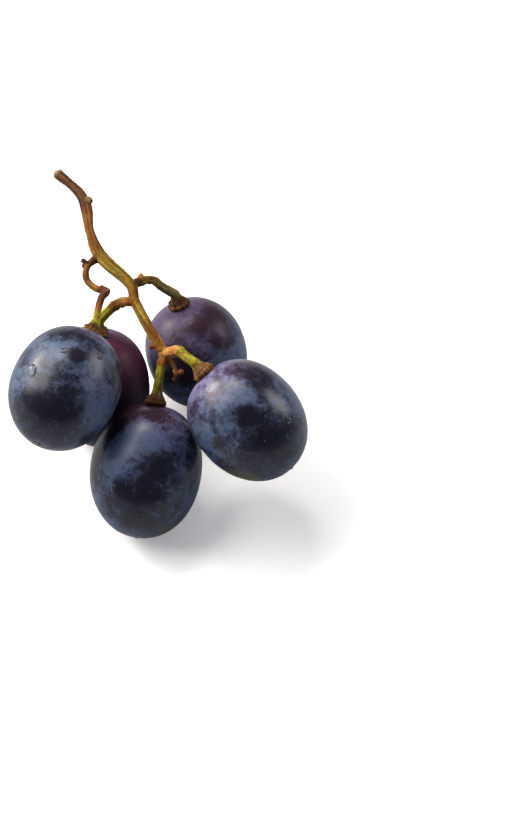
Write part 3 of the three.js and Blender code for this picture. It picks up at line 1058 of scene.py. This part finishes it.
# %% Buds, scars and warts
TWIG_BOW = 0.07


def add_dead_twig(name, start, length, heading, rise, radius, knob_radius, tone, knob_tone):
    """A short stub with a knob at its end."""
    end = step_from(start, length, heading, rise)
    middle = (start + end) / 2 + direction(heading + 90, rise) * (TWIG_BOW * length * MM)
    add_stalk(name, [start, middle, end], [radius, radius * 0.9, radius], [(0, tone), (1, knob_tone)],
              ridge_phase=length)
    add_knob(name + "_knob", end, knob_radius, knob_tone)


add_knob("tip_swelling", tip_fork, 1.08, OCHRE)
add_knob("twig_knee", twig_points[5], 0.88, BARK_RED)
add_dead_twig("tip_twig", tip_fork, 4.7, -57, -20, 0.55, 0.7, BARK, BARK)
add_dead_twig("rachis_bud", tip_fork.lerp(left_fork, 0.17), 1.6, -165, 0, 0.42, 0.5, RUST, RUST)
add_dead_twig("top_bud", twig_points[1], 1.3, 150, 25, 0.5, 0.5, BARK_RED, BARK_DARK)
add_dead_twig("lower_bud", twig_points[1], 1.0, 200, 5, 0.42, 0.42, BARK_RED, BARK_DARK)
add_dead_twig("right_bud", bent_line(right_fork, cap_end("grape_back_right"), [(0.16, -0.2, 1.4)])[1],
              1.0, 100, 35, 0.45, 0.5, BARK_RED, TAN)
spur_root = step_from(old_node, 2.0, 123, -5)
add_dead_twig("old_scar", spur_root, 1.9, -22, 22, 0.85, 0.76, BARK, CUT_WOOD)
add_knob("scar_heart", step_from(spur_root, 2.5, -24, 26), 0.36, BARK_DARK)
add_knob("twig_tip_left", step_from(tip_fork, 4.9, -48, -10), 0.55, RUST)
add_knob("twig_tip_right", step_from(tip_fork, 5.3, -66, -24), 0.5, BARK)

# Each wart: its stalk, the share of the way along, the side that it faces, its radius and its tone.
WARTS = (
    ("to_back_right", 0.34, -60, -30, 0.34, BARK_DARK),
    ("to_back_right", 0.26, -80, -30, 0.28, BARK_RED),
    ("to_back_right", 0.22, 90, 50, 0.3, RUST),
    ("to_back_right", 0.75, 20, 30, 0.2, CORK),
    ("to_back_left", 0.3, -40, -20, 0.3, BARK_DARK),
    ("to_back_left", 0.42, -50, -20, 0.32, BARK_DARK),
    ("to_back_left", 0.2, 120, 60, 0.22, RUST),
    ("to_front_left", 0.16, 100, 60, 0.34, BARK_DARK),
    ("to_front_left", 0.57, 20, 30, 0.34, BARK_RED),
    ("to_front_left", 0.63, 0, 50, 0.4, RUST),
    ("to_front_left", 0.67, 170, 20, 0.26, BARK_RED),
    ("to_front_left", 0.36, 200, 10, 0.24, RUST),
    ("to_right", 0.1, 90, 50, 0.42, RUST),
    ("to_right", 0.3, -90, 20, 0.34, RUST),
    ("to_right", 0.42, 90, 60, 0.3, TAN),
    ("to_right", 0.62, -60, 50, 0.2, CORK_RUST),
    ("to_right", 0.75, 80, 60, 0.2, CORK_RUST),
    ("to_front_middle", 0.3, 180, 20, 0.26, RUST),
    ("to_front_middle", 0.5, 0, 20, 0.22, RUST),
    ("to_front_middle", 0.62, 180, 40, 0.2, CORK_RUST),
    ("tip_twig", 0.5, 0, 40, 0.26, RUST),
    ("tip_twig", 0.85, -150, 40, 0.34, OCHRE),
    ("main", 0.02, 170, 50, 0.4, OCHRE),
    ("main", 0.79, 30, 40, 0.36, BARK),
    ("main", 0.57, 190, 20, 0.3, BARK_RED),
)
for number, (name, share, heading, rise, radius, tone) in enumerate(WARTS):
    add_knob(f"wart_{number}", on_side(name, share, heading, rise), radius, tone)
print(len(stalks), "stalks and lumps")

# %% [markdown]
# ## Growing the stalks together
# Each stalk becomes a tube, and all the tubes and lumps are closed solids that overlap. A boolean union
# would leave hard creases at the forks. A fine voxel remesh wraps them in one skin instead, and a little
# smoothing rounds the forks as bark does.

# %% One skin over all the stalks
STEM_VOXEL = 0.115 * MM
SMOOTHING_ROUNDS = 4


def tube(stalk):
    """A closed tube round a stalk's line."""
    curve = bpy.data.curves.new("line", "CURVE")
    curve.dimensions = "3D"
    curve.bevel_depth = MM
    curve.bevel_resolution = 4
    curve.use_fill_caps = True
    line = curve.splines.new("POLY")
    line.points.add(len(stalk["spots"]) - 1)
    for dot, spot, radius in zip(line.points, stalk["spots"], stalk["radii"]):
        dot.co = (*spot, 1)
        dot.radius = radius
    holder = bpy.data.objects.new("line", curve)
    mesh = bpy.data.meshes.new_from_object(holder)
    bpy.data.objects.remove(holder)
    bpy.data.curves.remove(curve)
    return mesh


stem_shape = bmesh.new()
for stalk in stalks.values():
    if stalk.get("knob"):
        middle = Matrix.Translation(stalk["spots"][0])
        bmesh.ops.create_icosphere(stem_shape, subdivisions=3, radius=stalk["radii"][0] * MM, matrix=middle)
    else:
        mesh = tube(stalk)
        stem_shape.from_mesh(mesh)
        bpy.data.meshes.remove(mesh)

rough_stem = finish_mesh("rough_stem", stem_shape)
remesh = rough_stem.modifiers.new("one skin", "REMESH")
remesh.mode = "VOXEL"
remesh.voxel_size = STEM_VOXEL
grown = rough_stem.evaluated_get(bpy.context.evaluated_depsgraph_get())
stem_shape = bmesh.new()
stem_shape.from_mesh(bpy.data.meshes.new_from_object(grown))
bpy.data.objects.remove(rough_stem)
for _ in range(SMOOTHING_ROUNDS):
    bmesh.ops.smooth_vert(stem_shape, verts=stem_shape.verts, factor=0.5, use_axis_x=True,
                          use_axis_y=True, use_axis_z=True)
stem_shape.normal_update()
print("the stem has", len(stem_shape.faces), "faces")

# %% [markdown]
# ## Bark: ridges, tones and fibres
# Dry bark has grooves that run along the stalk and never across it. Every point of the skin looks up its
# nearest stalk line, which tells how far along and how far round it lies. At a fork a point listens to
# both stalks, by how near it is to each, so the grooves and tones melt into each other.

# %% Look up the nearest place on a stalk
def read_stalk(points, stalk):
    """For each point: its gap from the stalk's surface, its place along and round the stalk, and the
    stalk's tone and radius there."""
    spots = np.array(stalk["spots"])
    distance = (np.square(points).sum(1)[:, None] + np.square(spots).sum(1)[None]
                - 2 * points @ spots.T)
    nearest = distance.argmin(axis=1)
    sides = np.array([[list(a), list(b)] for a, b in stalk["sides"]])[nearest]
    away = points - spots[nearest]
    round_it = np.arctan2((away * sides[:, 1]).sum(1), (away * sides[:, 0]).sum(1))
    gap = np.linalg.norm(away, axis=1) / MM - np.array(stalk["radii"])[nearest]
    along = np.array(stalk["travelled"])[nearest]
    tones = np.array([list(tone) for tone in stalk["tones"]])[nearest]
    return gap, along, round_it, tones, np.array(stalk["radii"])[nearest]


points = np.array([vertex.co for vertex in stem_shape.verts])
count = len(points)
print(count, "points look up", len(stalks), "stalks and lumps")

# %% [markdown]
# ### Ridges
# Ridges are waves round the stalk. Waves of several counts are added up, and each slants a little as it
# goes along, so that no ridge is quite straight. A cap has finer waves that don't slant, for its torn rim.
# Each wave here has its count, its height, its slant and how much the stalk's own phase turns it.

# %% Blend what the stalks say
BARK_WAVES = ((3, 0.5, 0.22, 1.0), (5, 0.4, -0.15, 2.3), (8, 0.3, 0.3, 1.7))
CORK_WAVES = ((7, 0.5, 0.0, 1.0), (11, 0.5, 0.0, 2.0), (17, 0.4, 0.0, 3.0))
BLEND_REACH = 0.11
CORK_FROM = 0.95
CORK_OVER = 0.5


def waves_round(round_it, along, phase, waves):
    """The height of the ridges at each point, for a stalk with a given phase."""
    return sum(
        rise * np.cos(number * round_it + slant * along + turn * phase)
        for number, rise, slant, turn in waves
    )


total = np.zeros(count)
height = np.zeros(count)
cork = np.zeros(count)
tone = np.zeros((count, 3))
fibre = np.zeros((count, 3))
for stalk in stalks.values():
    gap, along, round_it, tones, radii = read_stalk(points, stalk)
    weight = np.exp(-np.clip(gap, -0.4, 4) / BLEND_REACH)
    waves = CORK_WAVES if stalk["cork"] else BARK_WAVES
    ridges = waves_round(round_it, along, stalk["ridge_phase"], waves)
    height += weight * ridges * stalk["ridge_depth"] * radii
    cork += weight * stalk["cork"] * np.clip((radii - CORK_FROM) / CORK_OVER, 0, 1)
    tone += weight[:, None] * tones
    turned = np.stack([np.cos(round_it), np.sin(round_it), along], axis=1)
    fibre += weight[:, None] * turned
    total += weight
height /= total
cork /= total
tone /= total[:, None]
fibre /= total[:, None]
print("ridges reach", round(float(height.max()), 2), "mm out and", round(float(-height.min()), 2), "mm in")

# %% [markdown]
# ### From numbers to bark
# Each point of the bark is pushed out by its ridge, and by some lumps of noise that are larger on the
# cork. A bump in the material could fake this, but the outline of a thin stalk would stay too smooth. What
# the material needs later is stored on the mesh: the tone, the ridge, the cork and the way of the fibres.

# %% Push the ridges and lumps out
LUMPS = 0.055
CORK_LUMPS = 0.2
BIG_LUMP = 0.8
SMALL_LUMP = 0.35

for index, vertex in enumerate(stem_shape.verts):
    spot = vertex.co / MM
    lump = noise.noise(spot / BIG_LUMP) + 0.5 * noise.noise(spot / SMALL_LUMP)
    push = height[index] + lump * (LUMPS + (CORK_LUMPS - LUMPS) * cork[index])
    vertex.co += vertex.normal * (push * MM)
bmesh.ops.recalc_face_normals(stem_shape, faces=stem_shape.faces)
stem = finish_mesh("bunch_stem", stem_shape)

stem_corners = np.array([vertex.co for vertex in stem.data.vertices]) / MM
print("the stem measures", (stem_corners.max(axis=0) - stem_corners.min(axis=0)).round(1), "mm")

# %% Store what the bark material needs
def store_on_stem(name, kind, field, values):
    layer = stem.data.attributes.new(name, kind, "POINT")
    layer.data.foreach_set(field, values)
    print("stored on the stem:", name)


store_on_stem("tone", "FLOAT_COLOR", "color", np.hstack([tone, np.ones((count, 1))]).ravel())
store_on_stem("fibre", "FLOAT_VECTOR", "vector", fibre.ravel())
store_on_stem("ridge", "FLOAT", "value", height)
store_on_stem("cork", "FLOAT", "value", cork)

# %% [markdown]
# ## Bark material
# Every tone was stored along the stalks, so the material only has to add what is too small to model:
# fibres that run along the bark, painted light on the ridges and painted shade in the grooves, rusty
# pores on the green parts and pale dust.

# %% Colours of the bark
RUSTY_TINT = rgb(0.75, 0.42, 0.3)
WEATHERED_TINT = rgb(0.55, 0.42, 0.28)
PORE_RUST = rgb(0.13, 0.045, 0.018)
PALE_DUST = rgb(0.5, 0.42, 0.3)


def spread(tree, value, old, new):
    """Maps a value from one pair of ends to another."""
    node = add_node(tree, "ShaderNodeMapRange", {
        "Value": value, "From Min": old[0], "From Max": old[1], "To Min": new[0], "To Max": new[1]})
    return node.outputs[0]


def tinted(tree, share, colour, tint):
    """A colour that is multiplied by a tint, as far as a share of 1 says."""
    return mix_colours(tree, share, colour, mix_colours(tree, 1.0, colour, tint, blend="MULTIPLY"))


def along_fibres(tree, fibre, stretch):
    """A place that changes fast round the stalk and slowly along it, so that noise is drawn out."""
    return add_node(tree, "ShaderNodeVectorMath", {0: fibre, 1: stretch}, operation="MULTIPLY").outputs[0]


def bark_colour(tree, place, fibre, strands):
    """The stored tone, with fibres, painted light and shade on ridges and grooves, rust, weathering, pores
    and dust.
    """
    broad = cloud(tree, along_fibres(tree, fibre, (0.75, 0.75, 0.09)), 1.0, roughness=0.6)
    blotches = cloud(tree, place, 1.3, detail=4.0, roughness=0.65)
    dust = use_group(tree, patchy_layer, Place=place, Amount=0.42, Patch_size=1.6, Grain_size=0.35,
                     Raggedness=0.8, Softness=0.1)
    pores = use_group(tree, pores_group, Place=place, Spacing=0.55, Pore_size=0.14, Share=0.5)

    fibre_shade = spread(tree, strands, (0.3, 0.7), (0.55, 1.45))
    # Painted light and shade: the ridges are lightened and the grooves darkened.
    painted_ridge_light_and_groove_shade = spread(tree, stored(tree, "ridge"), (-0.12, 0.12), (0.55, 1.3))
    shade = calculate(tree, "MULTIPLY", fibre_shade, painted_ridge_light_and_groove_shade)
    grey = add_node(tree, "ShaderNodeCombineColor", {0: shade, 1: shade, 2: shade}).outputs[0]
    colour = mix_colours(tree, 1.0, stored(tree, "tone", "Color"), grey, blend="MULTIPLY")
    colour = tinted(tree, fade(tree, blotches, 0.5, 0.68), colour, RUSTY_TINT)
    weathered = calculate(tree, "MULTIPLY", fade(tree, broad, 0.46, 0.62), 0.75)
    colour = tinted(tree, weathered, colour, WEATHERED_TINT)
    colour = mix_colours(tree, calculate(tree, "MULTIPLY", pores["Pores"], 0.75), colour, PORE_RUST)
    return mix_colours(tree, calculate(tree, "MULTIPLY", dust["Cover"], 0.05), colour, PALE_DUST)


print("bark colours are ready")

# %% Bark
def bark_material():
    """Dry bark: matt, and roughest on the cork."""
    material = bpy.data.materials.new("bark")
    material.use_nodes = True
    tree = material.node_tree
    bark = tree.nodes["Principled BSDF"]
    place = place_in_mm(tree, (3.0, 11.0, 5.0))
    fibre = stored(tree, "fibre", "Vector")
    strands = cloud(tree, along_fibres(tree, fibre, (2.4, 2.4, 0.28)), 1.0, detail=5.0, roughness=0.7)
    roughness = mix_values(tree, strands, 0.42, 0.72)
    roughness = mix_values(tree, stored(tree, "cork"), roughness, 0.85)
    relief = calculate(tree, "ADD", calculate(tree, "MULTIPLY", strands, 0.7),
                       calculate(tree, "MULTIPLY", cloud(tree, place, 0.3), 0.3))
    bump = add_node(tree, "ShaderNodeBump", {"Height": relief, "Strength": 0.7, "Distance": 0.25 * MM})
    tree.links.new(bark_colour(tree, place, fibre, strands), bark.inputs["Base Color"])
    tree.links.new(roughness, bark.inputs["Roughness"])
    tree.links.new(bump.outputs[0], bark.inputs["Normal"])
    bark.inputs["IOR"].default_value = 1.45
    bark.inputs["Specular IOR Level"].default_value = 0.12
    return material


stem.data.materials.append(bark_material())
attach(stem, "root")
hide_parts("stem")
print("the stem is one piece with", len(stem.data.polygons), "faces")

# %% [markdown]
# ## A few drops of water
# The fruit was rinsed, and a few small drops stay on the skin. Each is a flattened bead whose lower half is
# sunk into the skin. A drop could be a bump in the skin's material, but it has to be true geometry, because
# its dark edge and its bright spot come from light that bends through it. The noise that makes a drop
# uneven starts from the clock unless it is given a seed, so it is given one.

# %% Drops of water
# Each drop: the grape, the heading and rise of the side that it is on, its radius in millimetres, and its
# length as a share of that.
DROPS = (
    ("grape_front_left", -160, 55, 0.95, 1.4),
    ("grape_front_left", 10, 50, 0.55, 1.3),
    ("grape_front_left", 80, 85, 0.5, 1.6),
    ("grape_front_left", -110, 50, 0.25, 1.0),
    ("grape_right", -30, 35, 0.55, 1.3),
    ("grape_right", -70, 30, 0.3, 1.0),
    ("grape_front_middle", -105, 10, 0.35, 1.3),
    ("grape_front_middle", -95, 10, 0.25, 1.1),
)
DROP_HEIGHT = 0.42
OUTSIDE = 30 * MM
WOBBLE = 0.05 * MM
WOBBLE_SIZE = 0.9
WOBBLE_SEED = 7


def drop_place(node, heading, rise, radius, stretch):
    """Turns a ball of radius 1 into a flat bead on the skin. The longer a drop is, the more it turns."""
    skin_piece = bpy.data.objects[node.replace("grape_", "") + "_grape"]
    facing = direction(heading, rise)
    _, spot, outward, _ = skin_piece.ray_cast(grapes[node]["middle"] + facing * OUTSIDE, -facing)
    size = Matrix.Diagonal((radius * MM, radius * stretch * MM, radius * DROP_HEIGHT * MM, 1))
    spin = Matrix.Rotation(math.radians(25 + 40 * stretch), 4, "Z")
    turn = outward.to_track_quat("Z", "Y").to_matrix().to_4x4()
    return Matrix.Translation(spot) @ turn @ spin @ size


drops_shape = bmesh.new()
for drop in DROPS:
    bmesh.ops.create_uvsphere(drops_shape, u_segments=32, v_segments=20, radius=1.0,
                              matrix=drop_place(*drop))
noise.seed_set(WOBBLE_SEED)
for vertex in drops_shape.verts:
    spot = vertex.co / MM
    vertex.co += WOBBLE * noise.noise_vector(spot / WOBBLE_SIZE)
bmesh.ops.recalc_face_normals(drops_shape, faces=drops_shape.faces)
drops = finish_mesh("water_drops", drops_shape)
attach(drops, "root")
print(len(DROPS), "drops with", len(drops.data.polygons), "faces")

# %% [markdown]
# ### Water
# Water lets the light through and bends it a little less than glass does. A little roughness stands for
# the wax dust that floats on it, and a faint ripple keeps its highlights from being perfect.

# %% Water
WATER_IOR = 1.33

water = bpy.data.materials.new("water")
water.use_nodes = True
tree = water.node_tree
clear = tree.nodes["Principled BSDF"]
waves = cloud(tree, place_in_mm(tree, (1.0, 2.0, 3.0)), 0.8)
ripple = add_node(tree, "ShaderNodeBump", {"Height": waves, "Strength": 0.15, "Distance": 0.1 * MM})
tree.links.new(ripple.outputs[0], clear.inputs["Normal"])
clear.inputs["Base Color"].default_value = rgb(0.80, 0.82, 0.88)
clear.inputs["Roughness"].default_value = 0.1
clear.inputs["IOR"].default_value = WATER_IOR
clear.inputs["Transmission Weight"].default_value = 1.0
drops.data.materials.append(water)
print("water bends light by", WATER_IOR)
